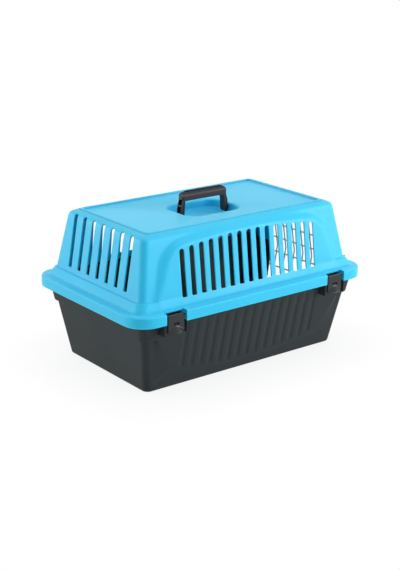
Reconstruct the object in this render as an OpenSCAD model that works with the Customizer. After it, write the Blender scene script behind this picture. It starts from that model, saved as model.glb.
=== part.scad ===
// Two-part plastic pet carrier: dark tub, blue ventilated top, folding handle,
// four side clips and a side-hung wire door with a pinch latch.
// X runs along the length towards the door, Z is up, the origin is under the middle of the floor.

/* [Tub] */
// Length of the tub at the floor
foot_len = 478; // [450:1:500]
// Width of the tub at the floor
foot_w = 274; // [255:1:290]
// Length of the tub's walls at the rim
mouth_len = 525; // [515:1:532]
// Width of the tub's walls at the rim
mouth_w = 329; // [322:1:334]
// Corner radius of the walls of the tub and the top
wall_r = 13; // [10:1:18]
// Thickness of the moulded walls
wall = 3; // [2.4:0.1:3.4]
// How far the band under the rim stands out from the walls
band_step = 5.5; // [4:0.1:6.5]
// Height of the band under the rim
band_h = 34; // [28:1:38]

/* [Rim] */
// Height of the rim's lower edge above the floor
rim_z = 149; // [140:1:156]
// Height of the rim's face
rim_h = 21; // [19:0.5:24]
// Length over the rim
rim_len = 580; // [574:1:592]
// Width over the rim
rim_w = 372; // [368:1:380]
// Corner radius of the rim
rim_r = 44; // [36:1:48]

/* [Top] */
// Height of the plinth between the rim and the walls of the top
plinth_h = 17; // [14:0.5:20]
// Length of the top's walls at the plinth
shoulder_len = 518.6; // [512:0.2:522]
// Width of the top's walls at the plinth
shoulder_w = 306.2; // [300:0.2:308]
// Length of the top's walls at the roof edge
crown_len = 480; // [470:1:490]
// Width of the top's walls at the roof edge
crown_w = 267; // [262:1:272]
// Overall height of the top, without the handle
roof_z = 308.8; // [300:0.2:316]
// Length of the recessed roof panel
panel_len = 434; // [420:1:440]
// Width of the recessed roof panel
panel_w = 230; // [224:1:236]
// Depth of the step round the roof panel
panel_step = 4; // [3:0.2:5]
// How far the roof panel dips towards the handle pocket
panel_dip = 4; // [3:0.2:6]

/* [Vents] */
// Number of slots in each long side
side_slots = 15; // [11:2:15]
// Distance between the slots of the long sides
side_pitch = 23.2; // [21:0.1:24]
// Number of slots in the closed end
end_slots = 7; // [5:2:7]
// Distance between the slots of the closed end
end_pitch = 32.3; // [28:0.1:33]
// Width of a slot
slot_w = 12; // [9:0.5:13]
// Depth of the flutes pressed in the tub's side panels
flute_depth = 1.6; // [1:0.1:2]

/* [Handle] */
// Length over the handle
handle_len = 121; // [112:1:126]
// Height of the handle above its pivot
handle_rise = 49; // [44:0.5:50]
// Height of the grip
grip_h = 19.5; // [17:0.5:22]
// Thickness of the handle across the grip
grip_t = 15; // [14:0.5:17]
// Width of each leg of the handle
leg_w = 9; // [8:0.5:12]
// How much closer together the legs are at the grip than at the pivots
leg_splay = 9; // [0:0.5:10]
// Radius of the stub axles of the handle
axle_r = 3; // [2.5:0.1:3.4]

/* [Clips] */
// Distance of the clips from the middle
clip_x = 201.5; // [196:0.5:206]
// Width of a clip
clip_w = 37; // [33:0.5:41]
// Height of a clip
clip_h = 34; // [32:0.5:36]
// How far the clip's plate lies behind the face of the rim
clip_set = 2.5; // [1.5:0.1:3]
// Reach of the clip's finger scoop beyond its plate
lip_reach = 9; // [6:0.5:11]
// Radius of the clip's stub axles
clip_axle_r = 2; // [1.6:0.1:2.2]

/* [Door] */
// Width of the doorway
door_w = 168; // [156:1:172]
// Height of the doorway's lower edge
sill_z = 50; // [46:1:56]
// Height of the doorway's upper edge
lintel_z = 272; // [264:1:276]
// Radius of the coated grid wires
wire_r = 1.5; // [1.3:0.1:1.7]
// Radius of the hinge rod and the latch bolts
rod_r = 2; // [1.8:0.1:2.4]
// Distance between the upright wires
upright_pitch = 28; // [27:0.5:28.5]
// Distance between the cross wires
cross_pitch = 32.5; // [32:0.5:33]
// Travel of each latch bolt
bolt_travel = 5.5; // [5.3:0.1:6]
// Number of coils of the latch spring
spring_coils = 5; // [4:1:5]

/* [Hidden] */
UPRIGHTS = 6;
CROSS_WIRES = 8;
CLIP_NAMES = ["clip_front_left", "clip_front_right", "clip_back_left", "clip_back_right"];

$fn = 32;
seat_gap = 0.2;      // between parts that rest on each other
run_gap = 0.08;      // radial, round a turning or sliding rod
weld_gap = 0.05;     // between wires that are welded at their crossings
free_gap = 0.5;      // beside parts that pass each other
through = 60;        // length of a cutter past what it cuts
BLUE = "#6DD1FA";
ANTHRACITE = "#46494C";
BLACK = "#2E3133";
COAT_GREY = "#B9BCBD";
STEEL = "#C8CBCE";

// heights
rim_top = rim_z + rim_h;
seat_z = rim_top - wall;             // underside of the rim's top, where the tub's flange meets it
joint_z = rim_z + rim_h / 2;         // middle of the rim, where the door is bent
shoulder_z = rim_top + plinth_h;
border_h = 10;                       // rise of the roof border above the end of the walls
crown_z = roof_z - border_h;
panel_z = roof_z - panel_step;
pocket_z = panel_z - panel_dip;

// half sizes of the walls at a height
function tub_x(z) = (foot_len + (mouth_len - foot_len) * z / rim_z) / 2;
function tub_y(z) = (foot_w + (mouth_w - foot_w) * z / rim_z) / 2;
function rise(z) = (z - shoulder_z) / (crown_z - shoulder_z);
function top_x(z) = (shoulder_len + (crown_len - shoulder_len) * rise(z)) / 2;
function top_y(z) = (shoulder_w + (crown_w - shoulder_w) * rise(z)) / 2;
tub_lean = atan((mouth_len - foot_len) / 2 / rim_z);
top_lean = atan((shoulder_len - crown_len) / 2 / (crown_z - shoulder_z));

// rim and plinth
end_shelf = 18;                      // flat of the rim's top at the ends
side_shelf = 22;                     // flat of the rim's top along the sides
shoulder_step = 3;                   // ledge at the top of the plinth
plinth_x = rim_len / 2 - end_shelf;
plinth_y = rim_w / 2 - side_shelf;

// bulged side panels of the top
bulge_low = 222;                     // half width of the bulge at the shoulder
bulge_high = side_pitch * (side_slots - 1) / 2 + 25;
bulge_proud = 4.4;                   // how far the bulge stands out at the shoulder
bulge_lean = 0.121;                  // inward lean of the bulge per millimetre of height
slot_foot = shoulder_z - 3;
slot_crown = crown_z - 10.6;         // top of the middle slot
slot_drop = 11.8;                    // how much lower the outermost slots end
bulge_flank = 1.5;                   // widening of the flanks per millimetre of depth
bulge_top = 0.5;                     // and of the upper edge
bulge_depth = 12;
function bulge_y(z) = top_y(shoulder_z) + bulge_proud - bulge_lean * (z - shoulder_z);
slot_reach = side_pitch * (side_slots - 1) / 2;
function slot_top(x) = slot_crown - slot_drop * pow(x / slot_reach, 2);

// pressed side panels of the tub
press_low = 181;                     // half width of the pressed panel at its foot
press_high = 231;                    // and at the band
press_z = 21;                        // height of its lower edge in the middle
press_arc = 17.4;                    // how much higher the ends of that edge are
press_top = rim_z - band_h + 3;
press_slope = 0.2177;                // lean of the panel per millimetre of height
function press_y(z) = tub_y(rim_z) + band_step - press_slope * (rim_z - z);
function press_foot(x) = press_z + press_arc * pow(x / press_low, 2);

// handle and its pocket
handle_z = pocket_z - 8.6;           // height of the pivot
pocket_x = handle_len / 2 + 5;
pocket_y = handle_rise + 1.5;
pocket_r = 26;
pocket_floor = handle_z - grip_t / 2 - 5;
axle_len = pocket_x + wall - handle_len / 2 - free_gap;

// clips
notch_w = clip_w + 9.5;
clip_top = rim_top - 4.5;
clip_t = 2.6;
clip_pivot_y = rim_w / 2 - 7;
clip_pivot_z = clip_top - 4.5;
clip_face = rim_w / 2 - clip_set - clip_pivot_y;  // outer face of a clip's plate, from its pivot
cheek_t = 3;
guide_t = 3;                         // ribs of the tub beside each clip
guide_x = notch_w / 2 + 0.5;
pocket_half = guide_x + guide_t + 2; // recess of the tub behind each clip
recess_y = plinth_y - 1;             // back of that recess
recess_z = rim_z - 22;
window_w = 13;
window_h = 5;
window_z = rim_z - 5;                // lower edge of the clip's window
tooth_h = 1.8;                       // height of the tooth in it
clip_foot = clip_top - clip_h;
scoop_r = (pow(clip_w / 2 - 1, 2) - pow(lip_reach, 2)) / (2 * lip_reach);  // of the finger scoop at its upper end

// door
gate_y = 127;                        // half width of the gap in the rim for the door
kink_x = max(tub_x(joint_z), top_x(joint_z)) + wire_r + 1.9;
side_wire_y = upright_pitch * (UPRIGHTS + 1) / 2;
weld = 2 * wire_r + weld_gap;        // from an upright's axis to a cross wire's
function door_x(z) = kink_x - (z < joint_z ? (joint_z - z) * tan(tub_lean) : (z - joint_z) * tan(top_lean));
door_low = joint_z - cross_pitch * (CROSS_WIRES - 1) / 2;
door_high = joint_z + cross_pitch * (CROSS_WIRES - 1) / 2;
function cross_z(i) = door_low + (i - 1) * cross_pitch;
function cross_lean(i) = cross_z(i) < joint_z ? -tub_lean : top_lean;
function cross_x(i) = door_x(cross_z(i)) + weld * cos(cross_lean(i));
function cross_axis_z(i) = cross_z(i) + weld * sin(cross_lean(i));
INNER = [CROSS_WIRES / 2, CROSS_WIRES / 2 + 1];  // the two cross wires beside the bend
rod_y = side_wire_y + 12;
inner_x = max(cross_x(INNER[0]), cross_x(INNER[1]));
hinge_x = inner_x + wire_r + rod_r + weld_gap;
latch_y = -rod_y;

// lugs and latch, measured up and down from the joint
lug_h = 8;
lug_w = 11;
lug_reach = 29;                      // from the joint to the near face of a lug
rod_end = lug_reach + 5;
plate_t = 2.5;
plate_x = inner_x + wire_r + weld_gap;
plate_w = 26;
plate_half = 22.5;                   // half height of the latch body
flange_t = 3;
spring_wire = 0.55;
spring_r = 4;
bolt_x = plate_x + plate_t + spring_r + spring_wire + 0.4;
pad_h = 8;
pad_w = 28;
pad_far = bolt_x + 12;               // outer face of the finger pads
pad_top = plate_half - flange_t - 2; // far face of a pad, from the joint
spring_half = pad_top - pad_h - weld_gap;

// ---- shared shapes ----

// outline of a rectangle with round corners, in steps of 10 degrees
function ring(hx, hy, r, z) = [for (q = [0:3]) for (a = [0:10:90])
    [(q == 0 || q == 3 ? 1 : -1) * (hx - r) + r * cos(90 * q + a),
     (q < 2 ? 1 : -1) * (hy - r) + r * sin(90 * q + a), z]];

// closed skin over outlines that have the same number of points
module skin(rings) {
    n = len(rings[0]);
    last = len(rings) - 1;
    polyhedron(points = [for (r = rings) each r],
        faces = concat([[for (i = [0:n - 1]) i]],
            [for (k = [0:last - 1]) for (i = [0:n - 1])
                [k * n + i, (k + 1) * n + i, (k + 1) * n + (i + 1) % n, k * n + (i + 1) % n]],
            [[for (i = [n - 1:-1:0]) last * n + i]]),
        convexity = 6);
}

// moves each edge of a flat outline out by its own distance; the edges keep their directions
function edge_out(points, i) = let (d = points[(i + 1) % len(points)] - points[i]) [d[1], -d[0]] / norm(d);
function grow(points, by) = let (n = len(points)) [for (i = [0:n - 1])
    let (u = edge_out(points, (i + n - 1) % n), v = edge_out(points, i), c = u * v,
        p = by[(i + n - 1) % n], q = by[i])
    points[i] + (p == q ? (u + v) * p / (1 + c) : (u * (p - c * q) + v * (q - c * p)) / (1 - c * c))];

// flat plate outline with true round corners
module plate(hx, hy, r) {
    square([2 * (hx - r), 2 * hy], center = true);
    square([2 * hx, 2 * (hy - r)], center = true);
    for (sx = [-1, 1], sy = [-1, 1]) translate([sx * (hx - r), sy * (hy - r)]) circle(r, $fn = 48);
}

module slab(hx, hy, r, z0, z1) {
    translate([0, 0, z0]) linear_extrude(z1 - z0) plate(hx, hy, r);
}

// box from corner to corner
module block(low, high) { translate(low) cube(high - low); }

// rod from one point to a little past another
module rod(a, b, r, past) {
    d = b - a;
    translate(a) rotate([0, acos(d[2] / norm(d)), atan2(d[1], d[0])]) cylinder(r = r, h = norm(d) + past, $fn = 48);
}

// everything beyond the outer face of the door end's walls, across the gate
module gate_cut() {
    bend_x = min(tub_x(joint_z), top_x(joint_z));
    gate_top = crown_z - 24;
    rotate([90, 0, 0]) linear_extrude(2 * gate_y, center = true)
        polygon([[tub_x(0), 0], [rim_len, 0], [rim_len, gate_top], [top_x(gate_top), gate_top], [bend_x, joint_z]]);
}

module doorway_cut() {
    translate([tub_x(0) - 20, 0, (sill_z + lintel_z) / 2]) rotate([90, 0, 90])
        linear_extrude(2 * through) plate(door_w / 2, (lintel_z - sill_z) / 2, 14);
}

// lug on the door end's wall, at height z
module lug(z, hole_x, y) {
    root = min(tub_x(z), top_x(z + lug_h), top_x(z)) - 1.5;
    block([root, y - lug_w / 2, z], [hole_x, y + lug_w / 2, z + lug_h]);
    translate([hole_x, y, z]) cylinder(r = lug_w / 2, h = lug_h, $fn = 48);
}

module at_clips() {
    for (sx = [-1, 1], sy = [0, 1]) mirror([0, sy, 0]) translate([sx * clip_x, 0, 0]) children();
}

// ---- tub ----

module tub_skin() {
    low = rim_z - band_h;
    skin([
        ring(tub_x(0) - 3.5, tub_y(0) - 3.5, wall_r - 3, 0),
        ring(tub_x(1) - 1.6, tub_y(1) - 1.6, wall_r - 1.5, 1),
        ring(tub_x(3.5), tub_y(3.5), wall_r, 3.5),
        ring(tub_x(low - 2), tub_y(low - 2), wall_r, low - 2),
        ring(tub_x(low) + band_step - 1.4, tub_y(low) + band_step - 1.4, wall_r + 2.5, low),
        ring(tub_x(low) + band_step, tub_y(low) + band_step, wall_r + 4, low + 1.4),
        ring(tub_x(seat_z) + band_step, tub_y(seat_z) + band_step, wall_r + 4, seat_z - seat_gap)
    ]);
}

module tub_space() {
    low = rim_z - band_h + wall;
    skin([
        ring(tub_x(wall) - wall - 3, tub_y(wall) - wall - 3, wall_r - 4, wall),
        ring(tub_x(wall + 3) - wall, tub_y(wall + 3) - wall, wall_r - 2, wall + 3),
        ring(tub_x(low) - wall, tub_y(low) - wall, wall_r - 2, low),
        ring(tub_x(low) + band_step - wall, tub_y(low) + band_step - wall, wall_r + 2, low + 3),
        ring(tub_x(seat_z) + band_step - wall, tub_y(seat_z) + band_step - wall, wall_r + 2, seat_z + 1)
    ]);
}

// pressed panels of both sides: an outline, how far it grows and how deep it lies below the face
press_end = press_foot(press_low);
PRESS = concat([[-press_high, press_top], [-press_low - 12.6, press_end + 7.8], [-press_low - 7.6, press_end + 2.8]],
    [for (i = [-6:6]) [i / 6 * press_low, press_foot(i / 6 * press_low)]],
    [[press_low + 7.6, press_end + 2.8], [press_low + 12.6, press_end + 7.8], [press_high, press_top]]);
function press_ring(side, out, deep) = [for (p = grow(PRESS, [for (q = PRESS) out]))
    [p[0], side * (press_y(p[1]) - deep), p[1]]];

module press_block(out, deep) {
    skin([press_ring(1, out, deep), press_ring(1, out + 3, deep + 9), press_ring(-1, out + 3, deep + 9),
        press_ring(-1, out, deep)]);
}

module tub_flutes() {
    groove_r = (pow(slot_w / 2, 2) + pow(flute_depth, 2)) / (2 * flute_depth);
    lean = atan(press_slope);
    for (sy = [0, 1], i = [0:side_slots - 1]) mirror([0, sy, 0]) {
        x = (i - (side_slots - 1) / 2) * side_pitch;
        foot = press_foot(x) + 7;
        translate([x, -press_y(foot) - groove_r + flute_depth, foot])
            rotate([lean, 0, 0]) cylinder(r = groove_r, h = rim_z - 9 - foot, $fn = 64);
    }
}

// flange that the rim of the top closes over
module tub_flange() {
    hx = rim_len / 2 - wall - free_gap;
    hy = rim_w / 2 - wall - free_gap;
    r = rim_r - wall - free_gap;
    difference() {
        slab(hx, hy, r, rim_z + 4, seat_z - seat_gap);
        slab(hx - wall, hy - wall, r - wall, 0, seat_z - seat_gap - wall);
        slab(tub_x(seat_z) + 2, tub_y(seat_z) + 2, wall_r + 2, 0, seat_z + 1);
        block([tub_x(0), -gate_y - cheek_t - free_gap, 0], [rim_len, gate_y + cheek_t + free_gap, rim_top]);
    }
}

// recess behind a clip, its two guide ribs and the tooth that the window snaps over
module clip_recess() {
    block([-pocket_half, -rim_w, recess_z], [pocket_half, -recess_y, rim_top]);
}

module clip_recess_wall() {
    block([-pocket_half - wall, -recess_y - 4, recess_z - wall], [pocket_half + wall, wall - recess_y, seat_z - seat_gap]);
}

module clip_keeper() {
    face = rim_w / 2 - clip_set - clip_t - 0.3;
    root = min(recess_y, tub_y(recess_z) + band_step) - 1;  // inside the wall behind the ribs
    for (s = [-1, 1]) mirror([s < 0 ? 1 : 0, 0, 0])
        block([guide_x, -face - 4, recess_z - 2], [guide_x + guide_t, -root, rim_z - free_gap]);
    block([-guide_x - 1, -face, window_z - 1], [guide_x + 1, -face + 2.5, window_z + 0.4 + tooth_h]);
    translate([0, -face, window_z + 0.4]) rotate([90, 0, 90])
        linear_extrude(window_w - 2 * free_gap, center = true) polygon([[0.5, 0], [-1.6, 0], [-1.3, 0.8], [0.5, tooth_h]]);
}

module base_tub() {
    color(ANTHRACITE) difference() {
        union() {
            difference() {
                union() {
                    tub_skin();
                    press_block(0, 0);
                    tub_flange();
                }
                difference() {
                    union() {
                        tub_space();
                        press_block(-1, wall);
                    }
                    // keeps a plain wall behind the gate
                    translate([tub_x(0) - wall, -gate_y - wall, 0]) rotate([0, tub_lean, 0])
                        cube([through, 2 * (gate_y + wall), rim_top]);
                    at_clips() clip_recess_wall();
                }
                tub_flutes();
                gate_cut();
                at_clips() clip_recess();
            }
            at_clips() clip_keeper();
            lug(joint_z - lug_reach - lug_h, hinge_x, rod_y);
            lug(joint_z - lug_reach - lug_h, bolt_x, latch_y);
        }
        doorway_cut();
        translate([hinge_x, rod_y, joint_z - rod_end]) cylinder(r = rod_r + run_gap, h = lug_h, $fn = 48);
        translate([bolt_x, latch_y, joint_z - lug_reach - lug_h - 1])
            cylinder(r = rod_r + free_gap, h = lug_h + 2, $fn = 48);
    }
}

// ---- top ----

module top_skin() {
    skin([
        ring(rim_len / 2, rim_w / 2, rim_r, rim_z),
        ring(rim_len / 2, rim_w / 2, rim_r, rim_top - 3),
        ring(rim_len / 2 - 0.9, rim_w / 2 - 0.9, rim_r - 0.9, rim_top - 0.9),
        ring(rim_len / 2 - 3, rim_w / 2 - 3, rim_r - 3, rim_top),
        ring(plinth_x + 4, plinth_y + 4, wall_r + 7, rim_top),
        ring(plinth_x + 1.2, plinth_y + 1.2, wall_r + 4.2, rim_top + 1.2),
        ring(plinth_x - 1, plinth_y - 0.8, wall_r + 2, rim_top + 4),
        ring(top_x(shoulder_z) + shoulder_step + 1, top_y(shoulder_z) + shoulder_step + 1, wall_r + 4, shoulder_z - 1.6),
        ring(top_x(shoulder_z) + shoulder_step, top_y(shoulder_z) + shoulder_step, wall_r + 3, shoulder_z - 0.3),
        ring(top_x(shoulder_z) + 1, top_y(shoulder_z) + 1, wall_r + 1, shoulder_z),
        ring(top_x(shoulder_z + 1.5), top_y(shoulder_z + 1.5), wall_r, shoulder_z + 1.5),
        ring(top_x(crown_z - 4), top_y(crown_z - 4), wall_r, crown_z - 4),
        ring(top_x(crown_z) - 1, top_y(crown_z) - 1, wall_r, crown_z),
        ring(top_x(crown_z) - 4.5, top_y(crown_z) - 4.5, wall_r, crown_z + 3.6),
        ring(panel_len / 2, panel_w / 2, 7, roof_z),
        ring(panel_len / 2 - 1.5, panel_w / 2 - 1.5, 6, roof_z - 0.5),
        ring(panel_len / 2 - 2, panel_w / 2 - 2, 6, panel_z),
        ring(pocket_x + 3, pocket_y + 3, pocket_r + 3, pocket_z),
        ring(pocket_x, pocket_y, pocket_r, pocket_z - 2),
        ring(pocket_x, pocket_y, pocket_r, handle_z - axle_r - 3),
        ring(pocket_x - 1.5, pocket_y - 2.5, pocket_r - 2, pocket_floor + 4),
        ring(pocket_x - 6, pocket_y - 8, pocket_r - 5, pocket_floor)
    ]);
}

module top_space() {
    t = wall;
    skin([
        ring(plinth_x - t, plinth_y - t, wall_r, seat_z - 1),
        ring(plinth_x - t, plinth_y - t, wall_r, rim_top - 1),
        ring(top_x(shoulder_z) + shoulder_step + 1 - t, top_y(shoulder_z) + shoulder_step + 1 - t, wall_r, shoulder_z - t),
        ring(top_x(shoulder_z) - t, top_y(shoulder_z) - t, wall_r - 1, shoulder_z - t + 0.8),
        ring(top_x(crown_z - 5) - t, top_y(crown_z - 5) - t, wall_r - 1, crown_z - 5),
        ring(top_x(crown_z) - 7, top_y(crown_z) - 7, wall_r - 1, crown_z + 0.8),
        ring(panel_len / 2 + 1.5, panel_w / 2 + 1.5, 8, roof_z - t),
        ring(panel_len / 2 + 0.5, panel_w / 2 + 0.5, 8, panel_z - t),
        ring(pocket_x + 3 + t, pocket_y + 3 + t, pocket_r + 5, pocket_z - t),
        ring(pocket_x + t, pocket_y + t, pocket_r + 3, pocket_z - 2 - t),
        ring(pocket_x + t, pocket_y + t, pocket_r + 3, handle_z - axle_r - 4 - t),
        ring(pocket_x - 1.5 + t, pocket_y - 2.5 + t, pocket_r, pocket_floor + 3 - t),
        ring(pocket_x - 6 + t / 2, pocket_y - 8 + t / 2, pocket_r - 3, pocket_floor - t)
    ]);
}

// bulged panel of a side: its outline from the door end round over the slots
BULGE = concat([for (x = [-bulge_low - 3, bulge_low + 3]) [x, rim_top + 3]],
    [[slot_reach + 37, shoulder_z + 61], [slot_reach + 34, shoulder_z + 83]],
    [for (i = [6:-1:-6]) [i / 6 * bulge_high, slot_top(i / 6 * slot_reach) + 5]],
    [[-slot_reach - 34, shoulder_z + 83], [-slot_reach - 37, shoulder_z + 61]]);
// slope of the edge behind each side of the outline, in millimetres per millimetre of depth
BULGE_SLOPE = concat([0, bulge_flank, bulge_flank, 1], [for (i = [1:12]) bulge_top], [1, bulge_flank, bulge_flank]);
function bulge_ring(inset, deep) = [for (p = grow(BULGE,
        [for (s = BULGE_SLOPE) s == 0 ? 0 : s * deep - inset * sqrt(1 + s * s)]))
    [p[0], -bulge_y(p[1]) + deep, p[1]]];

module bulge_block(inset) {
    for (sy = [0, 1]) mirror([0, sy, 0])
        skin([bulge_ring(inset, inset + bulge_depth), bulge_ring(inset, inset)]);
}

module side_vents() {
    for (sy = [0, 1], i = [0:side_slots - 1]) mirror([0, sy, 0]) {
        x = (i - (side_slots - 1) / 2) * side_pitch;
        crown = slot_top(x) - slot_w / 2;
        block([x - slot_w / 2, -rim_w / 2, slot_foot], [x + slot_w / 2, -panel_w / 2 - 3, crown]);
        translate([x, -panel_w / 2 - 3, crown]) rotate([90, 0, 0]) cylinder(d = slot_w, h = through, $fn = 48);
    }
}

module end_vents() {
    end_reach = 18.5;                // from the panel's edge to the slots' upper ends
    end_foot = shoulder_z + 10;
    for (i = [0:end_slots - 1]) {
        y = (i - (end_slots - 1) / 2) * end_pitch;
        block([-rim_len / 2, y - slot_w / 2, end_foot],
              [-panel_len / 2 - end_reach - slot_w / 2, y + slot_w / 2, roof_z + 1]);
        translate([-panel_len / 2 - end_reach - slot_w / 2, y, end_foot])
            cylinder(d = slot_w, h = roof_z + 1 - end_foot, $fn = 48);
    }
}

module clip_notch() {
    block([-notch_w / 2, -rim_w, 0], [notch_w / 2, -plinth_y - 2, rim_top + 1]);
}

module clip_cheeks() {
    for (s = [-1, 1]) mirror([s < 0 ? 1 : 0, 0, 0])
        block([notch_w / 2, -rim_w / 2 + 1, rim_z + 1], [notch_w / 2 + cheek_t, -recess_y - free_gap, rim_top - 1]);
}

module clip_axle_hole() {
    translate([0, -clip_pivot_y, clip_pivot_z]) rotate([0, 90, 0])
        cylinder(r = clip_axle_r + run_gap, h = notch_w + 2 * cheek_t + 2, center = true, $fn = 48);
}

module top_shell() {
    color(BLUE) difference() {
        union() {
            difference() {
                union() {
                    top_skin();
                    bulge_block(0);
                }
                // space under the rim for the tub's flange and walls
                difference() {
                    slab(rim_len / 2 - wall, rim_w / 2 - wall, rim_r - wall, 0, seat_z);
                    for (s = [-1, 1]) mirror([0, s < 0 ? 1 : 0, 0])
                        block([tub_x(seat_z) + band_step + free_gap, gate_y, rim_z], [rim_len, gate_y + cheek_t, seat_z + 1]);
                }
                difference() {
                    union() {
                        top_space();
                        bulge_block(wall);
                    }
                    // keeps a plain wall behind the gate
                    translate([top_x(rim_z) - wall, -gate_y - wall, rim_z]) rotate([0, -top_lean, 0])
                        cube([through, 2 * (gate_y + wall), shoulder_z + 8 - rim_z]);
                }
                gate_cut();
            }
            at_clips() clip_cheeks();
            lug(joint_z + lug_reach, hinge_x, rod_y);
            lug(joint_z + lug_reach, bolt_x, latch_y);
        }
        side_vents();
        end_vents();
        doorway_cut();
        translate([hinge_x, rod_y, joint_z + lug_reach - 1]) cylinder(r = rod_r + run_gap, h = lug_h + 2, $fn = 48);
        translate([bolt_x, latch_y, joint_z + lug_reach - 1]) cylinder(r = rod_r + free_gap, h = lug_h + 2, $fn = 48);
        at_clips() clip_notch();
        at_clips() clip_axle_hole();
        translate([0, 0, handle_z]) rotate([0, 90, 0])
            cylinder(r = axle_r + run_gap, h = 2 * (pocket_x + wall + 1), center = true, $fn = 48);
    }
}

// ---- handle ----

// front view of the bail, with its pivots at height 0
module handle_face() {
    hx = handle_len / 2;
    bend = 13;
    top = hx - leg_splay / 2;
    // where the slanting outer side of a leg meets the round corner
    run = [top - bend - hx, handle_rise - bend];
    turn = atan2(run[1], run[0]) - asin(bend / norm(run));
    side = sqrt(run * run - bend * bend);
    meet = [hx + side * cos(turn), side * sin(turn)];
    under = handle_rise - grip_h;
    inner = hx - leg_w;
    inner_top = inner - leg_splay / 2 * under / handle_rise;
    difference() {
        union() {
            polygon([[hx, -3], [hx, 0], meet, [top - bend, handle_rise], [bend - top, handle_rise], [-meet[0], meet[1]],
                [-hx, 0], [-hx, -3]]);
            for (s = [-1, 1]) {
                translate([s * (top - bend), handle_rise - bend]) circle(bend, $fn = 64);
                translate([s * (hx - leg_w / 2), -3]) circle(leg_w / 2, $fn = 64);
            }
        }
        polygon([[inner, -10], [inner, 0], [inner_top, under - 4], [inner_top - 4, under], [4 - inner_top, under],
            [-inner_top, under - 4], [-inner, 0], [-inner, -10]]);
        for (s = [-1, 1]) translate([s * (inner_top - 4), under - 4]) circle(4, $fn = 48);
    }
}

module handle() {
    hx = handle_len / 2;
    web = 2.5;
    cell = (handle_rise - 22 - web) / 2;
    color(BLACK) translate([0, 0, handle_z]) {
        difference() {
            rotate([90, 0, 0]) linear_extrude(grip_t, center = true) handle_face();
            // hollow outer sides of the legs
            for (s = [-1, 1], k = [0, 1]) mirror([s < 0 ? 1 : 0, 0, 0])
                block([hx - 6.5, -grip_t / 2 + 3, 6 + k * (cell + web)], [hx + 1, grip_t / 2 - 3, 6 + k * (cell + web) + cell]);
        }
        for (s = [-1, 1]) rotate([0, s * 90, 0]) translate([0, 0, hx - 1]) cylinder(r = axle_r, h = axle_len + 1, $fn = 48);
    }
}

// ---- clips ----

// side view of a clip's plate and barrel: y is the distance out from its pivot, z the height above it
module clip_profile() {
    top = clip_top - clip_pivot_z;
    foot = clip_foot - clip_pivot_z;
    polygon([[clip_face - clip_t, top], [clip_face - 0.8, top], [clip_face, top - 0.8], [clip_face, foot],
        [clip_face - clip_t, foot]]);
    circle(clip_axle_r + 1.8, $fn = 48);
}

// cone whose axis lies behind the plate; the slice of it in front is the finger scoop
module scoop(inset, past) {
    high = window_z - 1 - clip_foot;
    flare = (lip_reach + 0.5) / high;
    translate([0, scoop_r - clip_face, clip_foot - clip_pivot_z - past])
        cylinder(r1 = scoop_r + lip_reach - inset + flare * past, r2 = scoop_r - 0.5 - inset, h = high + past, $fn = 96);
}

module clip() {
    translate([0, -clip_pivot_y, clip_pivot_z]) {
        difference() {
            union() {
                rotate([0, 0, -90]) rotate([90, 0, 0]) linear_extrude(clip_w, center = true) clip_profile();
                difference() {
                    scoop(0, 0);
                    block([-clip_w, 1 - clip_face, -clip_h - 1], [clip_w, through, 0]);
                }
            }
            scoop(clip_t, 1);
            block([-window_w / 2, -through / 2, window_z - clip_pivot_z], [window_w / 2, -1, window_z + window_h - clip_pivot_z]);
        }
        rotate([0, 90, 0]) cylinder(r = clip_axle_r, h = notch_w + 2 * cheek_t - 1, center = true, $fn = 48);
    }
}

module place_clip(name) {
    sx = name == CLIP_NAMES[0] || name == CLIP_NAMES[2] ? -1 : 1;
    sy = name == CLIP_NAMES[2] || name == CLIP_NAMES[3] ? 1 : 0;
    color(ANTHRACITE) mirror([0, sy, 0]) translate([sx * clip_x, 0, 0]) clip();
}

// ---- door ----

module bent_wire(y, low, high) {
    rod([door_x(low), y, low], [kink_x, y, joint_z], wire_r, 0.3);
    rod([door_x(high), y, high], [kink_x, y, joint_z], wire_r, 0.3);
}

module door_upright(i) {
    color(COAT_GREY) bent_wire((i - (UPRIGHTS + 1) / 2) * upright_pitch, door_low - 2, door_high + 2);
}

module door_side_wire(side) {
    color(COAT_GREY) bent_wire(side * side_wire_y, door_low - 2, door_high + 2);
}

module door_cross_wire(i) {
    inner = i == INNER[0] || i == INNER[1];
    reach = inner ? rod_y + 1 : side_wire_y + 1.5;
    latch_end = inner ? rod_y + 10 : reach;
    color(COAT_GREY) translate([cross_x(i), -latch_end, cross_axis_z(i)]) rotate([-90, 0, 0])
        cylinder(r = wire_r, h = reach + latch_end);
}

module door_hinge_rod() {
    color(COAT_GREY) translate([hinge_x, rod_y, joint_z - rod_end + seat_gap])
        cylinder(r = rod_r, h = 2 * rod_end - seat_gap, $fn = 48);
}

// ---- latch ----

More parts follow.
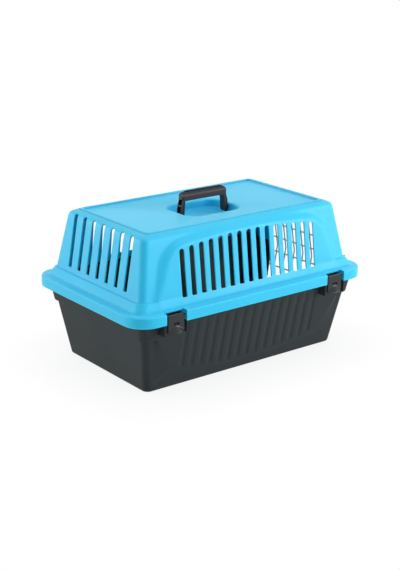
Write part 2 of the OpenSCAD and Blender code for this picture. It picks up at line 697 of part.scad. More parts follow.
module latch_body() {
    color(BLACK) difference() {
        union() {
            block([plate_x, latch_y - plate_w / 2, joint_z - plate_half], [plate_x + plate_t, latch_y + plate_w / 2, joint_z + plate_half]);
            for (s = [-1, 1]) mirror([0, 0, s < 0 ? 1 : 0]) translate([0, 0, s * joint_z]) {
                block([plate_x, latch_y - 7, plate_half - flange_t], [bolt_x, latch_y + 7, plate_half]);
                translate([bolt_x, latch_y, plate_half - flange_t]) cylinder(r = 7, h = flange_t, $fn = 48);
            }
            // eyes that hold the two inner cross wires
            for (i = INNER) block([cross_x(i) - wire_r - 1.2, latch_y - 5, cross_axis_z(i) - wire_r - 2],
                [plate_x + 1, latch_y + 5, cross_axis_z(i) + wire_r + 2]);
        }
        for (i = INNER) translate([cross_x(i), latch_y - 20, cross_axis_z(i)]) rotate([-90, 0, 0])
            cylinder(r = wire_r + weld_gap, h = 40, $fn = 48);
        translate([bolt_x, latch_y, joint_z - plate_half - 1]) cylinder(r = rod_r + run_gap, h = 2 * plate_half + 2, $fn = 48);
    }
}

// a finger pad above the joint; the lower one is its mirror image
module finger_pad() {
    difference() {
        union() {
            translate([plate_x + plate_t + 0.3, latch_y - pad_w / 2, joint_z + pad_top - pad_h])
                cube([pad_far - plate_x - plate_t - 6.3, pad_w, pad_h]);
            translate([pad_far - 6, latch_y, joint_z + pad_top - pad_h]) linear_extrude(pad_h) difference() {
                plate(6, pad_w / 2, 5);
                translate([-6.5, -pad_w]) square([0.5, 2 * pad_w]);
            }
        }
        // finger hollow
        translate([pad_far - 4, latch_y, joint_z + pad_top + 12]) rotate([0, 90, 0])
            cylinder(r = 15, h = through, center = true, $fn = 96);
        translate([bolt_x, latch_y, joint_z + pad_top - pad_h + 1]) cylinder(r = rod_r + weld_gap / 2, h = pad_h, $fn = 48);
    }
}

module latch_bolt() {
    tip = 3;
    low = pad_top - pad_h + 1 + weld_gap;
    translate([bolt_x, latch_y, joint_z + low]) cylinder(r = rod_r, h = rod_end - low - tip, $fn = 48);
    translate([bolt_x, latch_y, joint_z + rod_end - tip]) cylinder(r1 = rod_r, r2 = rod_r - 0.8, h = tip, $fn = 48);
}

module below_joint() { translate([0, 0, 2 * joint_z]) mirror([0, 0, 1]) children(); }

module upper_bolt() { color(STEEL) latch_bolt(); }
module lower_bolt() { color(STEEL) below_joint() latch_bolt(); }
module upper_finger_pad() { color(BLACK) finger_pad(); }
module lower_finger_pad() { color(BLACK) below_joint() finger_pad(); }

spring_steps = 8;
spring_sides = 6;
function coil_point(t) = let (rise = 2 * (spring_half - spring_wire) * t / spring_coils)
    [bolt_x + spring_r * cos(360 * t), latch_y + spring_r * sin(360 * t), joint_z - spring_half + spring_wire + rise];
function coil_ring(t) = [for (k = [0:spring_sides - 1]) let (a = 360 * k / spring_sides)
    coil_point(t) + spring_wire * [cos(a) * cos(360 * t), cos(a) * sin(360 * t), sin(a)]];
// least distance between points of the coil that are half a turn or more apart, less the wire
COIL = [for (k = [0:spring_coils * spring_steps]) coil_point(k / spring_steps)];
echo(least_gap_of_spring = min([for (i = [0:len(COIL) - 1]) for (j = [i + spring_steps / 2:1:len(COIL) - 1])
    norm(COIL[i] - COIL[j])]) - 2 * spring_wire);

module latch_spring() {
    color(STEEL) skin([for (k = [0:spring_coils * spring_steps]) coil_ring(k / spring_steps)]);
}

base_tub();
top_shell();
handle();
for (name = CLIP_NAMES) place_clip(name);
door_hinge_rod();
door_side_wire(1);  // door_hinge_side_wire
door_side_wire(-1);  // door_latch_side_wire
for (i = [1:UPRIGHTS]) door_upright(i);
for (i = [1:CROSS_WIRES]) door_cross_wire(i);
latch_body();
upper_bolt();
upper_finger_pad();
lower_bolt();
lower_finger_pad();
latch_spring();
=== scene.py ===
# %% [markdown]
# # A plastic pet keeper
#
# The real object is a travelling box for a small animal: a dark tub, a light blue
# ventilated top that clips on to it, a handle that folds into the roof, and a wire door
# in one end. Nearly all of it is injection-moulded polypropylene. This lesson loads the
# engineer's solids as a fixed frame, then models the visible shapes again with softer
# edges and gives every piece a procedural material.

# %% Load the frame
import math

import bmesh
import bpy
from mathutils import Matrix, Vector


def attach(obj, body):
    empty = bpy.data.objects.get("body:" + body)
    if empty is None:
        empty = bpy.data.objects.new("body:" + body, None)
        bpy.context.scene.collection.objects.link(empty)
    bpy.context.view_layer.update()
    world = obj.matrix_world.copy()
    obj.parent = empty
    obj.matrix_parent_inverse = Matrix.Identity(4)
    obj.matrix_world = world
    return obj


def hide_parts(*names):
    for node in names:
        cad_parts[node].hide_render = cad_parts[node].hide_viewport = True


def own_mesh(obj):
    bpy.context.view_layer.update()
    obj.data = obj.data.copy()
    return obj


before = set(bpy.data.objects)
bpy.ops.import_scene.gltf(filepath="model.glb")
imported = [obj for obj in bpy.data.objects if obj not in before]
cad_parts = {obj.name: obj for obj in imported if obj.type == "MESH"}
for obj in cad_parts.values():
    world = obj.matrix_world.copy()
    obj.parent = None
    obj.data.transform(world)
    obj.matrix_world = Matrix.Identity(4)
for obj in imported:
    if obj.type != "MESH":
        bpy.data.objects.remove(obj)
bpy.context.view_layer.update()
MM = 0.001
print("solids in the frame:", len(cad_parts))

# %% [markdown]
# ## The camera
#
# The photograph was taken from the front left corner, a little above the roof. The
# position below was solved from the corners of the rim, the floor and the roof. The
# sensor is fitted to the longer side of the picture, which here is its height.

# %% Camera
camera_data = bpy.data.cameras.new("photo_camera")
camera = bpy.data.objects.new("photo_camera", camera_data)
bpy.context.scene.collection.objects.link(camera)
bpy.context.scene.camera = camera
camera_data.sensor_fit = "VERTICAL"
camera_data.sensor_height = 36
camera_data.lens = 75.2
camera_data.clip_end = 50
camera_roll = math.radians(0.41)
camera.location = Vector((-1434.3, -1847.7, 904.2)) * MM
camera_target = Vector((-291.71, -370.42, 289.72)) * MM
look = (camera_target - camera.location).to_track_quat("-Z", "Y")
camera.rotation_euler = (look.to_matrix() @ Matrix.Rotation(camera_roll, 3, "Z")).to_euler()
print("camera is", round(camera.location.length, 2), "m from the middle of the floor")

# %% [markdown]
# ## Studio
#
# A catalogue picture: white paper, a soft lamp out to the left that lights the closed
# end, a stronger one out to the right that lights the long side, a weak one overhead, and
# an even white world. The nearest corner lies between the two side lamps, so it is the
# deepest blue. The paper and the world show as plain white to the camera and to
# reflections, while the paper still catches a soft shadow.

# %% Node helper and colours
def add_node(tree, kind, inputs=None, **settings):
    """Adds a node, sets its properties, then sets or links its inputs."""
    node = tree.nodes.new(kind)
    for name, value in settings.items():
        setattr(node, name, value)
    for name, value in (inputs or {}).items():
        if isinstance(value, bpy.types.NodeSocket):
            tree.links.new(value, node.inputs[name])
        else:
            node.inputs[name].default_value = value
    return node


def linear(hex_colour):
    """An sRGB hex value as the linear RGBA that the shader wants."""
    parts = [int(hex_colour[i : i + 2], 16) / 255 for i in (1, 3, 5)]
    return [c / 12.92 if c <= 0.04045 else ((c + 0.055) / 1.055) ** 2.4 for c in parts] + [1.0]


def empty_tree(owner):
    """The node tree of a material or a world, switched on and cleared."""
    owner.use_nodes = True
    owner.node_tree.nodes.clear()
    return owner.node_tree


def blend(tree, factor, low, high):
    """A colour that goes from low to high as the factor goes from 0 to 1."""
    ends = {"Factor": factor, "A": low, "B": high}
    return add_node(tree, "ShaderNodeMix", ends, data_type="RGBA").outputs["Result"]


def plain_when_seen(tree, lighting, plain):
    """Plain to the camera and to reflections, and the other shader for all other light."""
    path = add_node(tree, "ShaderNodeLightPath")
    rays = {0: path.outputs["Is Camera Ray"], 1: path.outputs["Is Glossy Ray"]}
    seen = add_node(tree, "ShaderNodeMath", rays, operation="MAXIMUM")
    ends = {0: seen.outputs[0], 1: lighting.outputs[0], 2: plain.outputs[0]}
    return add_node(tree, "ShaderNodeMixShader", ends).outputs[0]


# %% World
world = bpy.data.worlds.new("white_studio")
bpy.context.scene.world = world
bpy.context.scene.view_settings.view_transform = "Standard"
tree = empty_tree(world)
ambient = add_node(tree, "ShaderNodeBackground", {"Color": linear("#FFFFFF"), "Strength": 0.6})
backdrop = add_node(tree, "ShaderNodeBackground", {"Color": linear("#FFFFFF"), "Strength": 1.0})
add_node(tree, "ShaderNodeOutputWorld", {"Surface": plain_when_seen(tree, ambient, backdrop)})
print("world ready")

# %% Lamps
def soft_lamp(name, place, size, power):
    """A square area lamp aimed at the middle of the carrier."""
    data = bpy.data.lights.new(name, "AREA")
    data.shape = "SQUARE"
    data.size = size
    data.energy = power
    lamp = bpy.data.objects.new(name, data)
    bpy.context.scene.collection.objects.link(lamp)
    lamp.location = place
    lamp.rotation_euler = (Vector((0, 0, 0.15)) - lamp.location).to_track_quat("-Z", "Y").to_euler()
    return lamp


soft_lamp("left_softbox", (-2.1, 1.95, 0.75), 1.4, 28)
soft_lamp("right_softbox", (2.0, -2.05, 0.8), 1.4, 50)
soft_lamp("roof_softbox", (0.2, -0.2, 2.6), 1.8, 13)

# %% Paper floor
floor_mesh = bpy.data.meshes.new("paper_floor")
bm = bmesh.new()
bmesh.ops.create_grid(bm, x_segments=1, y_segments=1, size=6)
bm.to_mesh(floor_mesh)
bm.free()
paper_floor = bpy.data.objects.new("paper_floor", floor_mesh)
bpy.context.scene.collection.objects.link(paper_floor)
paper = bpy.data.materials.new("white_paper")
tree = empty_tree(paper)
matte = add_node(tree, "ShaderNodeBsdfDiffuse", {"Color": linear("#F4F4F4")})
# the paper shows plain white, darkened only where the carrier shades it
shade = add_node(tree, "ShaderNodeAmbientOcclusion", {"Distance": 0.16}, samples=8, only_local=False)
tint = blend(tree, shade.outputs["AO"], linear("#ECEDEE"), linear("#FFFFFF"))
plain = add_node(tree, "ShaderNodeEmission", {"Color": tint, "Strength": 1.0})
add_node(tree, "ShaderNodeOutputMaterial", {"Surface": plain_when_seen(tree, matte, plain)})
floor_mesh.materials.append(paper)
print("floor ready")

# %% [markdown]
# ## Materials
#
# Moulded polypropylene is waxy and satin, slightly translucent in a light colour, and it
# copies the steel mould: spark-eroded areas come out with a fine grain, about half a
# millimetre across. At this distance that grain would be far below a pixel, so it is
# drawn at about 1.5 mm. Moulded walls also show faint cloudy flow marks.

# %% Moulded plastic
CLOUD_SIZE = 0.09
# how far the painted shade in creases and in hollows reaches
CREASE_SHADE_REACH, HOLLOW_SHADE_REACH = 0.006, 0.024
WAX_DEPTH, WAX_TINT = 0.005, (0.6, 1.0, 1.0)
HAZE_WEIGHT, HAZE_SPREAD = 0.6, 0.45


def occlusion_shade_mask(tree, reach, enclosed, free):
    """A painted shade mask from ambient occlusion: 0 where faces within that reach close a place in, 1 where
    it stands free.
    """
    near = add_node(tree, "ShaderNodeAmbientOcclusion", {"Distance": reach}, samples=6, only_local=True)
    limits = {"Value": near.outputs["AO"], "From Min": enclosed, "From Max": free}
    return add_node(tree, "ShaderNodeMapRange", limits).outputs["Result"]


def moulded_plastic(name, colour, mottle, crease_shade, roughness, grain_mm, grain_height,
                    shine=0.5, waxy=0.0, hollow_shade=None, haze=None):
    """A moulded plastic with cloudy flow marks, a fine grain and painted shade in creases and hollows.

    The crease colour is painted shade, a deeper colour laid where faces meet. The hollow colour is a fuller
    colour painted in wide hollows, standing in for the shade and the light passed from face to face there.
    haze is the pale tint of a waxy bloom, which the shader's own sheen lays over the surface.
    """
    material = bpy.data.materials.new(name)
    tree = empty_tree(material)
    place = add_node(tree, "ShaderNodeTexCoord").outputs["Object"]
    cloud = add_node(tree, "ShaderNodeTexNoise",
                     {"Vector": place, "Scale": 1 / CLOUD_SIZE, "Detail": 3.0, "Roughness": 0.55})
    surface = blend(tree, cloud.outputs["Fac"], linear(mottle), linear(colour))
    # painted shade: the hollow colour is laid in wide hollows and the crease colour in creases, wherever
    # ambient occlusion finds faces close by
    if hollow_shade:
        surface = blend(tree, occlusion_shade_mask(tree, HOLLOW_SHADE_REACH, 0.45, 0.82), linear(hollow_shade), surface)
    surface = blend(tree, occlusion_shade_mask(tree, CREASE_SHADE_REACH, 0.45, 0.9), linear(crease_shade), surface)
    gloss = add_node(tree, "ShaderNodeMapRange",
                     {"Value": cloud.outputs["Fac"], "From Min": 0.3, "From Max": 0.7,
                      "To Min": roughness - 0.04, "To Max": roughness + 0.05})
    grain = add_node(tree, "ShaderNodeTexNoise",
                     {"Vector": place, "Scale": 1 / (grain_mm * MM), "Detail": 2.0, "Roughness": 0.6})
    bump = add_node(tree, "ShaderNodeBump",
                    {"Height": grain.outputs["Fac"], "Strength": 1.0, "Distance": grain_height * MM})
    shader = add_node(tree, "ShaderNodeBsdfPrincipled",
                      {"Base Color": surface, "Roughness": gloss.outputs["Result"],
                       "Normal": bump.outputs["Normal"], "Specular IOR Level": shine})
    if haze:
        shader.inputs["Sheen Weight"].default_value = HAZE_WEIGHT
        shader.inputs["Sheen Roughness"].default_value = HAZE_SPREAD
        shader.inputs["Sheen Tint"].default_value = linear(haze)
    if waxy:
        shader.subsurface_method = "RANDOM_WALK"
        shader.inputs["Subsurface Weight"].default_value = waxy
        shader.inputs["Subsurface Radius"].default_value = WAX_TINT
        shader.inputs["Subsurface Scale"].default_value = WAX_DEPTH
    add_node(tree, "ShaderNodeOutputMaterial", {"Surface": shader.outputs[0]})
    return material


# the fourth colour of each plastic below is painted shade in its creases, and the blue's hollow colour is
# painted shade in its wide hollows
# polypropylene, pigmented light blue, satin and slightly translucent
BLUE_PP = moulded_plastic("light_blue_polypropylene", "#28C6F0", "#24C2ED", "#0684BC", 0.45, 1.6, 0.02,
                          shine=0.35, waxy=0.7, hollow_shade="#0EB4EA", haze="#A4E6FF")
# polypropylene, dyed anthracite, matte with a fine grain
ANTHRACITE_PP = moulded_plastic("anthracite_polypropylene", "#303739", "#2C3234", "#101214", 0.5, 1.5, 0.035,
                                shine=0.12)
# acetal of the clips, a little glossier than the tub
CLIP_ACETAL = moulded_plastic("dark_acetal", "#1F2124", "#1B1D20", "#08090A", 0.28, 1.4, 0.012, shine=0.4)
# nylon of the handle and the latch, near black
BLACK_NYLON = moulded_plastic("black_nylon", "#26272A", "#222326", "#0A0A0C", 0.42, 1.5, 0.02, shine=0.25)
# polyethylene coating on the door wires: light grey, soft gloss
WIRE_COATING = moulded_plastic("grey_polyethylene_coating", "#C2C5C7", "#B9BCBE", "#7C8083", 0.35, 3.0, 0.01)
print("plastics:", [m.name for m in bpy.data.materials])

# %% Zinc-plated steel
def plated_steel(name):
    """Zinc-plated drawn steel: a metal with fine lines along the drawing direction."""
    material = bpy.data.materials.new(name)
    tree = empty_tree(material)
    place = add_node(tree, "ShaderNodeTexCoord").outputs["Object"]
    drawn = add_node(tree, "ShaderNodeMapping", {"Vector": place, "Scale": (1500.0, 1500.0, 90.0)})
    lines = add_node(tree, "ShaderNodeTexNoise", {"Vector": drawn.outputs[0], "Scale": 1.0, "Detail": 2.0})
    tint = blend(tree, lines.outputs["Fac"], linear("#A9ADB1"), linear("#D5D8DA"))
    worn = add_node(tree, "ShaderNodeMapRange",
                      {"Value": lines.outputs["Fac"], "To Min": 0.2, "To Max": 0.42})
    shader = add_node(tree, "ShaderNodeBsdfPrincipled",
                      {"Base Color": tint, "Metallic": 1.0, "Roughness": worn.outputs["Result"]})
    add_node(tree, "ShaderNodeOutputMaterial", {"Surface": shader.outputs[0]})
    return material


PLATED_STEEL = plated_steel("zinc_plated_steel")

# %% [markdown]
# ## How the walls are lofted
#
# Both halves of the carrier are thin skins whose cross-section is a rectangle with round
# corners that changes on the way up. So each is made from one loop of vertices that is
# extruded again and again, and after each extrusion the new loop is put on its own
# rounded rectangle. Every vertex remembers its station round the loop in an integer
# layer, which an extrusion copies, so a vertex always knows where it belongs.

# %% Stations round a loop
CORNER_STEPS = 8
SIDE_VENTS, SIDE_PITCH = 15, 23.2
END_VENTS, END_PITCH = 7, 32.3
VENT_HALF = 6.0


def stations(count, pitch, offsets, beyond):
    """Places along a side: the same offsets round each vent, then single ones beyond."""
    middle = [pitch * (k - (count - 1) / 2) + o for k in range(count) for o in offsets]
    knee = -min(middle)
    middle = [m for m in middle if m <= knee]
    return sorted(middle + [s * b for b in beyond for s in (-1, 1)]), knee


def fit(value, limit, last, knee):
    """Stations up to the knee stay put, and those beyond it share what room is left."""
    if limit >= last:
        return value
    if limit <= knee:
        return value * limit / last
    if abs(value) <= knee:
        return value
    return math.copysign(knee + (abs(value) - knee) * (limit - knee) / (last - knee), value)


def loop_place(station, xs, ys, hx, hy, r):
    """Where a station lies on a rounded rectangle of half sizes hx and hy."""
    (x_list, x_knee), (y_list, y_knee) = xs, ys
    nc = CORNER_STEPS + 1
    corner = 0
    for kind, count in (("front", len(x_list)), ("corner", nc), ("right", len(y_list)), ("corner", nc),
                        ("back", len(x_list)), ("corner", nc), ("left", len(y_list)), ("corner", nc)):
        if station < count:
            break
        station -= count
        corner += kind == "corner"
    lx, ly = hx - r, hy - r
    if kind in ("front", "back"):
        side = -1 if kind == "front" else 1
        return -side * fit(x_list[station], lx - 0.5, x_list[-1], x_knee), side * hy
    if kind in ("right", "left"):
        side = 1 if kind == "right" else -1
        return side * hx, side * fit(y_list[station], ly - 0.5, y_list[-1], y_knee)
    centre = ((lx, -ly), (lx, ly), (-lx, ly), (-lx, -ly))[corner]
    angle = math.radians(-90 + 90 * corner + 90 * station / CORNER_STEPS)
    return centre[0] + r * math.cos(angle), centre[1] + r * math.sin(angle)


# %% Loft
def loft(rings, xs, ys, reshape=None, close_first=False, close_last=False):
    """Extrudes one loop through rings of (half x, half y, corner radius, z)."""
    bm = bmesh.new()
    station = bm.verts.layers.int.new("station")
    count = 2 * (len(xs[0]) + len(ys[0])) + 4 * (CORNER_STEPS + 1)
    loop = [bm.verts.new((i, 0, 0)) for i in range(count)]
    for i, v in enumerate(loop):
        v[station] = i
    edges = [bm.edges.new((loop[i], loop[(i + 1) % count])) for i in range(count)]
    if close_first:
        bmesh.ops.contextual_create(bm, geom=edges)
    for row, (hx, hy, r, z) in enumerate(rings):
        if row:
            made = bmesh.ops.extrude_edge_only(bm, edges=edges)["geom"]
            fresh = {g for g in made if isinstance(g, bmesh.types.BMVert)}
            edges = [g for g in made if isinstance(g, bmesh.types.BMEdge) and set(g.verts) <= fresh]
            loop = list(fresh)
        for v in loop:
            x, y = loop_place(v[station], xs, ys, hx, hy, r)
            v.co = reshape(x, y, z) if reshape else (x, y, z)
    if close_last:
        bmesh.ops.contextual_create(bm, geom=edges)
    bmesh.ops.recalc_face_normals(bm, faces=bm.faces)
    return bm


def smooth_max(a, b, k):
    h = max(k - abs(a - b), 0) / k
    return max(a, b) + h * h * k / 4


# %% [markdown]
# ## Openings in a skin
#
# A vent is a hole in a thin wall. A boolean would do, but it leaves ragged triangles that
# bevel badly. Because the loft already has vertices along both edges of each vent, it is
# enough to delete the faces inside the vent's outline and slide the vertices that are
# left on its edge on to that outline. The walls get their thickness afterwards.

# %% Cut openings
def in_outline(a, t, half, low, high, r_low, r_high):
    """Is (a, t) inside a slot of that half width, with those corner radii?"""
    if abs(a) >= half or not low < t < high:
        return False
    for corner_t, r in ((high - r_high, r_high), (low + r_low, -r_low)):
        if r and (t - corner_t) * r > 0 and abs(a) > half - abs(r):
            return math.hypot(abs(a) - half + abs(r), t - corner_t) < abs(r)
    return True


def on_outline(a, t, half, low, high, r_low, r_high):
    """The nearest point of the slot's outline."""
    for corner_t, r in ((high - r_high, r_high), (low + r_low, -r_low)):
        if r and (t - corner_t) * r > 0 and abs(a) > half - abs(r):
            dx, dt = abs(a) - half + abs(r), t - corner_t
            pull = abs(r) / max(math.hypot(dx, dt), 1e-6)
            return math.copysign(half - abs(r) + dx * pull, a), corner_t + dt * pull
    gaps = {"side": abs(abs(a) - half), "low": abs(t - low), "high": abs(t - high)}
    nearest = min(gaps, key=gaps.get)
    if nearest == "side":
        return math.copysign(half, a), t
    return a, low if nearest == "low" else high


def cut_openings(bm, find):
    """find(point) says which opening a point belongs to: None, or (across, along, outline, move)."""
    doomed = []
    for face in bm.faces:
        hit = find(face.calc_center_median())
        if hit and in_outline(hit[0], hit[1], *hit[2]):
            doomed.append(face)
    edge = {v for f in doomed for v in f.verts}
    bmesh.ops.delete(bm, geom=doomed, context="FACES")
    for v in edge:
        if v.is_valid:
            hit = find(v.co)
            if hit:
                a, t = on_outline(hit[0], hit[1], *hit[2])
                v.co += hit[3](a - hit[0], t - hit[1])
    return len(doomed)


# %% Finish a piece
def finish_piece(name, bm, material, body, slot, nodes,
                 wall=0.0, bevel=0.0, sharp=32, segments=2, scale=MM):
    """Makes the mesh an object, applies its wall and bevel, parents it to its body and hides the CAD nodes it
    replaces.
    """
    bmesh.ops.scale(bm, vec=(scale,) * 3, verts=bm.verts)
    mesh = bpy.data.meshes.new(name)
    bm.to_mesh(mesh)
    bm.free()
    piece = bpy.data.objects.new(name, mesh)
    bpy.context.scene.collection.objects.link(piece)
    if wall:
        skin = piece.modifiers.new("wall", "SOLIDIFY")
        skin.thickness = wall * MM
        skin.offset = -1
        skin.use_even_offset = True
    if bevel:
        edge = piece.modifiers.new("soft_edges", "BEVEL")
        edge.width = bevel * MM
        edge.segments = segments
        edge.limit_method = "ANGLE"
        edge.angle_limit = math.radians(sharp)
        edge.harden_normals = False
    if piece.modifiers:
        ready = bpy.data.meshes.new_from_object(piece.evaluated_get(bpy.context.evaluated_depsgraph_get()))
        piece.modifiers.clear()
        piece.data = ready
        ready.name = name
    piece.data.shade_smooth()
    piece.data.set_sharp_from_angle(angle=math.radians(sharp))
    normals = piece.modifiers.new("flat_faces", "WEIGHTED_NORMAL")
    normals.keep_sharp = True
    piece.data.materials.clear()
    piece.data.materials.append(material)
    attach(piece, body)
    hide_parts(*nodes)
    print(name, "has", len(piece.data.polygons), "faces")
    return piece


# %% [markdown]
# ## The ventilated top
#
# One blue moulding. From the bottom up it has a deep rim with round corners, a plinth
# with a hollow fillet at its foot, slightly leaning walls, and a sloping border round a
# sunk roof panel that dips to the handle's pocket. Each long side carries a flat bulge
# with fifteen vents, and the closed end has seven.

# %% Sizes of the top
RIM_LOW, RIM_TOP, SHOULDER, CROWN = 149.0, 170.0, 187.0, 298.8
GATE, DOOR_HALF, SILL, LINTEL = 127.0, 84.0, 50.0, 272.0
CLIP_X, NOTCH_HALF = 201.5, 23.25
PANEL_Z, POCKET_X, POCKET_Y, POCKET_FLOOR, PIVOT_Z = 304.8, 65.5, 50.5, 279.7, 292.2
LAST_VENT_X, BULGE_CORNER, BULGE_EDGE = 162.4, 37, 4.0
TOP_XS = stations(SIDE_VENTS, SIDE_PITCH, (-6, -4, 0, 4, 6, 9.6, 13.6),
                  (173.0, CLIP_X - NOTCH_HALF, 181.5, 187, 194, 201.5, 209, 216, 221.5,
                   CLIP_X + NOTCH_HALF, 228, 234, 240, 245))
TOP_YS = stations(END_VENTS, END_PITCH, (-6, -4, 0, 4, 6, 10.9, 16.15, 21.4),
                  (107.5, 112, 117, 122, 127, 130, 134, 138, 141))


def top_x(z):
    return 259.3 - 19.3 * (z - SHOULDER) / (CROWN - SHOULDER)


def top_y(z):
    return 153.1 - 19.6 * (z - SHOULDER) / (CROWN - SHOULDER)


def bulge_plane(z):
    return 157.5 - 0.121 * (z - SHOULDER)


def vent_top(x):
    return 288.2 - 11.8 * (x / LAST_VENT_X) ** 2


# %% Bulged sides
def bulge_face(x, z):
    """How far out the bulge's surface lies, edges included."""
    flank = 221 - 0.391 * (z - 193) if z < 248 else 199.5 - 0.117 * (z - 248)
    crest = vent_top(min(abs(x), 187.4) / 187.4 * LAST_VENT_X) + 5
    across, along, r = abs(x) - flank, z - crest, BULGE_CORNER
    if across > -r and along > -r:
        beyond = math.hypot(across + r, along + r) - r
        share = (along + r) ** 2 / ((across + r) ** 2 + (along + r) ** 2 + 1e-6)
    else:
        beyond, share = max(across, along), float(along > across)
    slope = 0.667 + (1.5 - 0.667) * share
    return bulge_plane(z) - smooth_max(0, beyond, BULGE_EDGE) * slope


def top_reshape(x, y, z):
    if abs(y) > 120 and z > RIM_TOP + 0.7 and z < 304:
        y = math.copysign(smooth_max(abs(y), bulge_face(x, z), BULGE_EDGE), y)
    if x > 0 and abs(y) < GATE + 0.1 and z < SHOULDER + 3:
        x = min(x, top_x(z))
    return x, y, z


TOP_RINGS = [(290, 186, 44, RIM_LOW), (290, 186, 44, 167.0), (289.6, 185.6, 43.6, 168.4),
             (288.8, 184.8, 42.8, 169.4), (287.3, 183.3, 41.3, RIM_TOP), (279, 173.5, 30, RIM_TOP + 0.25),
             (276.6, 168.8, 22, RIM_TOP + 0.5), (274.2, 166.2, 19.5, 171.4), (272.6, 164.6, 18, 173.2),
             (271.6, 163.5, 17.3, 175.5), (265, 158.2, 16.5, 184.0), (264.2, 157.6, 16.2, 185.4),
             (263.2, 156.8, 15.6, 186.4),
             (261.8, 155.6, 14.6, SHOULDER), (260.2, 154.0, 13.2, SHOULDER + 0.4),
             (259.1, 152.9, 12.6, 188.6)]
TOP_RINGS += [(top_x(z), top_y(z), 12.6, z) for z in [191 + 3.32 * k for k in range(32)]]
TOP_RINGS += [(239.9, 133.3, 12.6, 297.0), (239.0, 132.6, 12.4, 299.4), (237.4, 131.0, 12, 301.4),
              (235.0, 128.8, 11.5, 303.0), (232, 126.3, 11, 304.2), (229.5, 124.3, 10.5, 305.0),
              (227, 122.3, 10, 305.8),
              (224.4, 120.4, 9.3, 306.6),
              (223.2, 119.5, 9, 306.97), (222.9, 119.3, 8.9, 306.8), (222.7, 119.15, 8.8, 306.3),
              (222.5, 119.0, 8.75, 305.9), (222.1, 118.7, 8.7, 305.6),
              (221.7, 118.4, 8.6, 305.9), (221.5, 118.25, 8.55, 306.4),
              (221.3, 118.1, 8.5, 307.2), (220.9, 117.8, 8.4, 307.7),
              (219.5, 116.8, 8, 308.2), (218.2, 115.9, 7.6, 308.6), (217.2, 115.2, 7.2, 308.75),
              (216.2, 114.4, 6.8, 308.5),
              (215.6, 113.8, 6.4, 307.8), (215.2, 113.4, 6.2, 306), (214.6, 112.8, 6, 305.1),
              (213.6, 112, 6, PANEL_Z),
              (150, 84, 16, 303.0), (82, 67, 34, 301.3), (72, 57, 31, 300.95), (69.3, 54.3, 29.8, 300.7),
              (67.4, 52.4, 27.9, 300.0), (66.1, 51.1, 26.6, 298.9), (POCKET_X, POCKET_Y, 26, 297),
              (POCKET_X, POCKET_Y, 26, 287), (65.2, 50.0, 25.6, 285.6), (63.6, 47.6, 24.2, 282.6),
              (61.2, 44.2, 22, 280.4),
              (57, 40, 18.5, POCKET_FLOOR)]
bm = loft(TOP_RINGS, TOP_XS, TOP_YS, top_reshape, close_last=True)
print("top skin:", len(bm.faces), "faces")


# %% Vents of the top
def slide(across, along):
    """Moves a vertex by distances along two directions."""
    return lambda a, t: Vector(across) * a + Vector(along) * t


def find_vent(p):
    if abs(p.y) > 118 and abs(p.x) < 169 and 180 < p.z < 300:
        k = round(p.x / SIDE_PITCH)
        lean = -math.copysign(0.121, p.y)
        outline = (VENT_HALF, 184.6, vent_top(k * SIDE_PITCH), 1.0, VENT_HALF)
        return p.x - k * SIDE_PITCH, p.z, outline, slide((1, 0, 0), (0, lean, 1))
    if p.x < -224 and abs(p.y) < 108 and p.z > 192:
        across = p.y - round(p.y / END_PITCH) * END_PITCH
        outline = (VENT_HALF, 197.0, 303.6, 1.0, VENT_HALF)
        if p.x < -238:
            return across, p.z, outline, slide((0, 1, 0), (0.17, 0, 1))
        # the vent ends in a half circle on the bend, so its height is measured along the skin
        return across, 300.4 + (p.x + 238) * 1.06, outline, slide((0, 1, 0), (0.94, 0, 0.5))
    return None


print("faces cut for vents:", cut_openings(bm, find_vent))


def find_gate(p):
    """The doorway, which is open at the bottom, and the rim's gap for the door."""
    if p.x > 225 and abs(p.y) < 100 and p.z > 160:
        return p.y, p.z, (DOOR_HALF, 100, LINTEL, 0, 14.0), slide((0, 1, 0), (-0.17, 0, 1))
    return None


print("faces cut for the doorway:", cut_openings(bm, find_gate))


def in_rim_gap(face):
    """The rim leaves a gap for the door and a notch for each clip."""
    x, y, z = face.calc_center_median()
    if x > 240 and abs(y) < GATE:
        return z < 166.9
    return z < RIM_TOP + 0.3 and abs(y) > 160 and abs(abs(x) - CLIP_X) < NOTCH_HALF


bmesh.ops.delete(bm, geom=[f for f in bm.faces if in_rim_gap(f)], context="FACES")


# %% Small solids moulded on the top
def round_edges(bm, edges, offset, segments):
    bmesh.ops.bevel(bm, geom=edges, offset=offset, segments=segments, profile=0.5,
                    affect="EDGES", material=-1)


def add_block(bm, one, other, soften):
    """A box between any two opposite corners in millimetres, with its edges softened."""
    made = bmesh.ops.create_cube(bm, size=1)["verts"]
    bmesh.ops.scale(bm, vec=[abs(a - b) for a, b in zip(one, other)], verts=made)
    bmesh.ops.translate(bm, vec=[(a + b) / 2 for a, b in zip(one, other)], verts=made)
    round_edges(bm, list({e for v in made for e in v.link_edges}), soften, 2)


def add_tube(bm, centre, radius, hole, height, steps=40):
    """An upright eye with a hole through it, spun from a small rectangle."""
    x, y, z = centre
    section = ((hole, 0), (radius, 0), (radius, height), (hole, height))
    corners = [bm.verts.new((x + r, y, z + h)) for r, h in section]
    ring = [bm.edges.new((corners[i], corners[(i + 1) % 4])) for i in range(4)]
    bmesh.ops.spin(bm, geom=corners + ring, cent=(x, y, 0), axis=(0, 0, 1), angle=math.tau,
                   steps=steps, use_merge=True)


HINGE_X, BOLT_X, ROD_Y, JOINT_Z = 271.55, 277.0, 110.0, 159.5
LUG_REACH, LUG_H, LUG_HALF, HINGE_HOLE, BOLT_HOLE = 29.0, 8.0, 5.5, 2.1, 2.5


def add_lug(bm, y, hole_x, z, root, hole):
    add_block(bm, (root, y - LUG_HALF, z), (hole_x - 4.6, y + LUG_HALF, z + LUG_H), 0.6)
    add_tube(bm, (hole_x, y, z), LUG_HALF, hole, LUG_H)


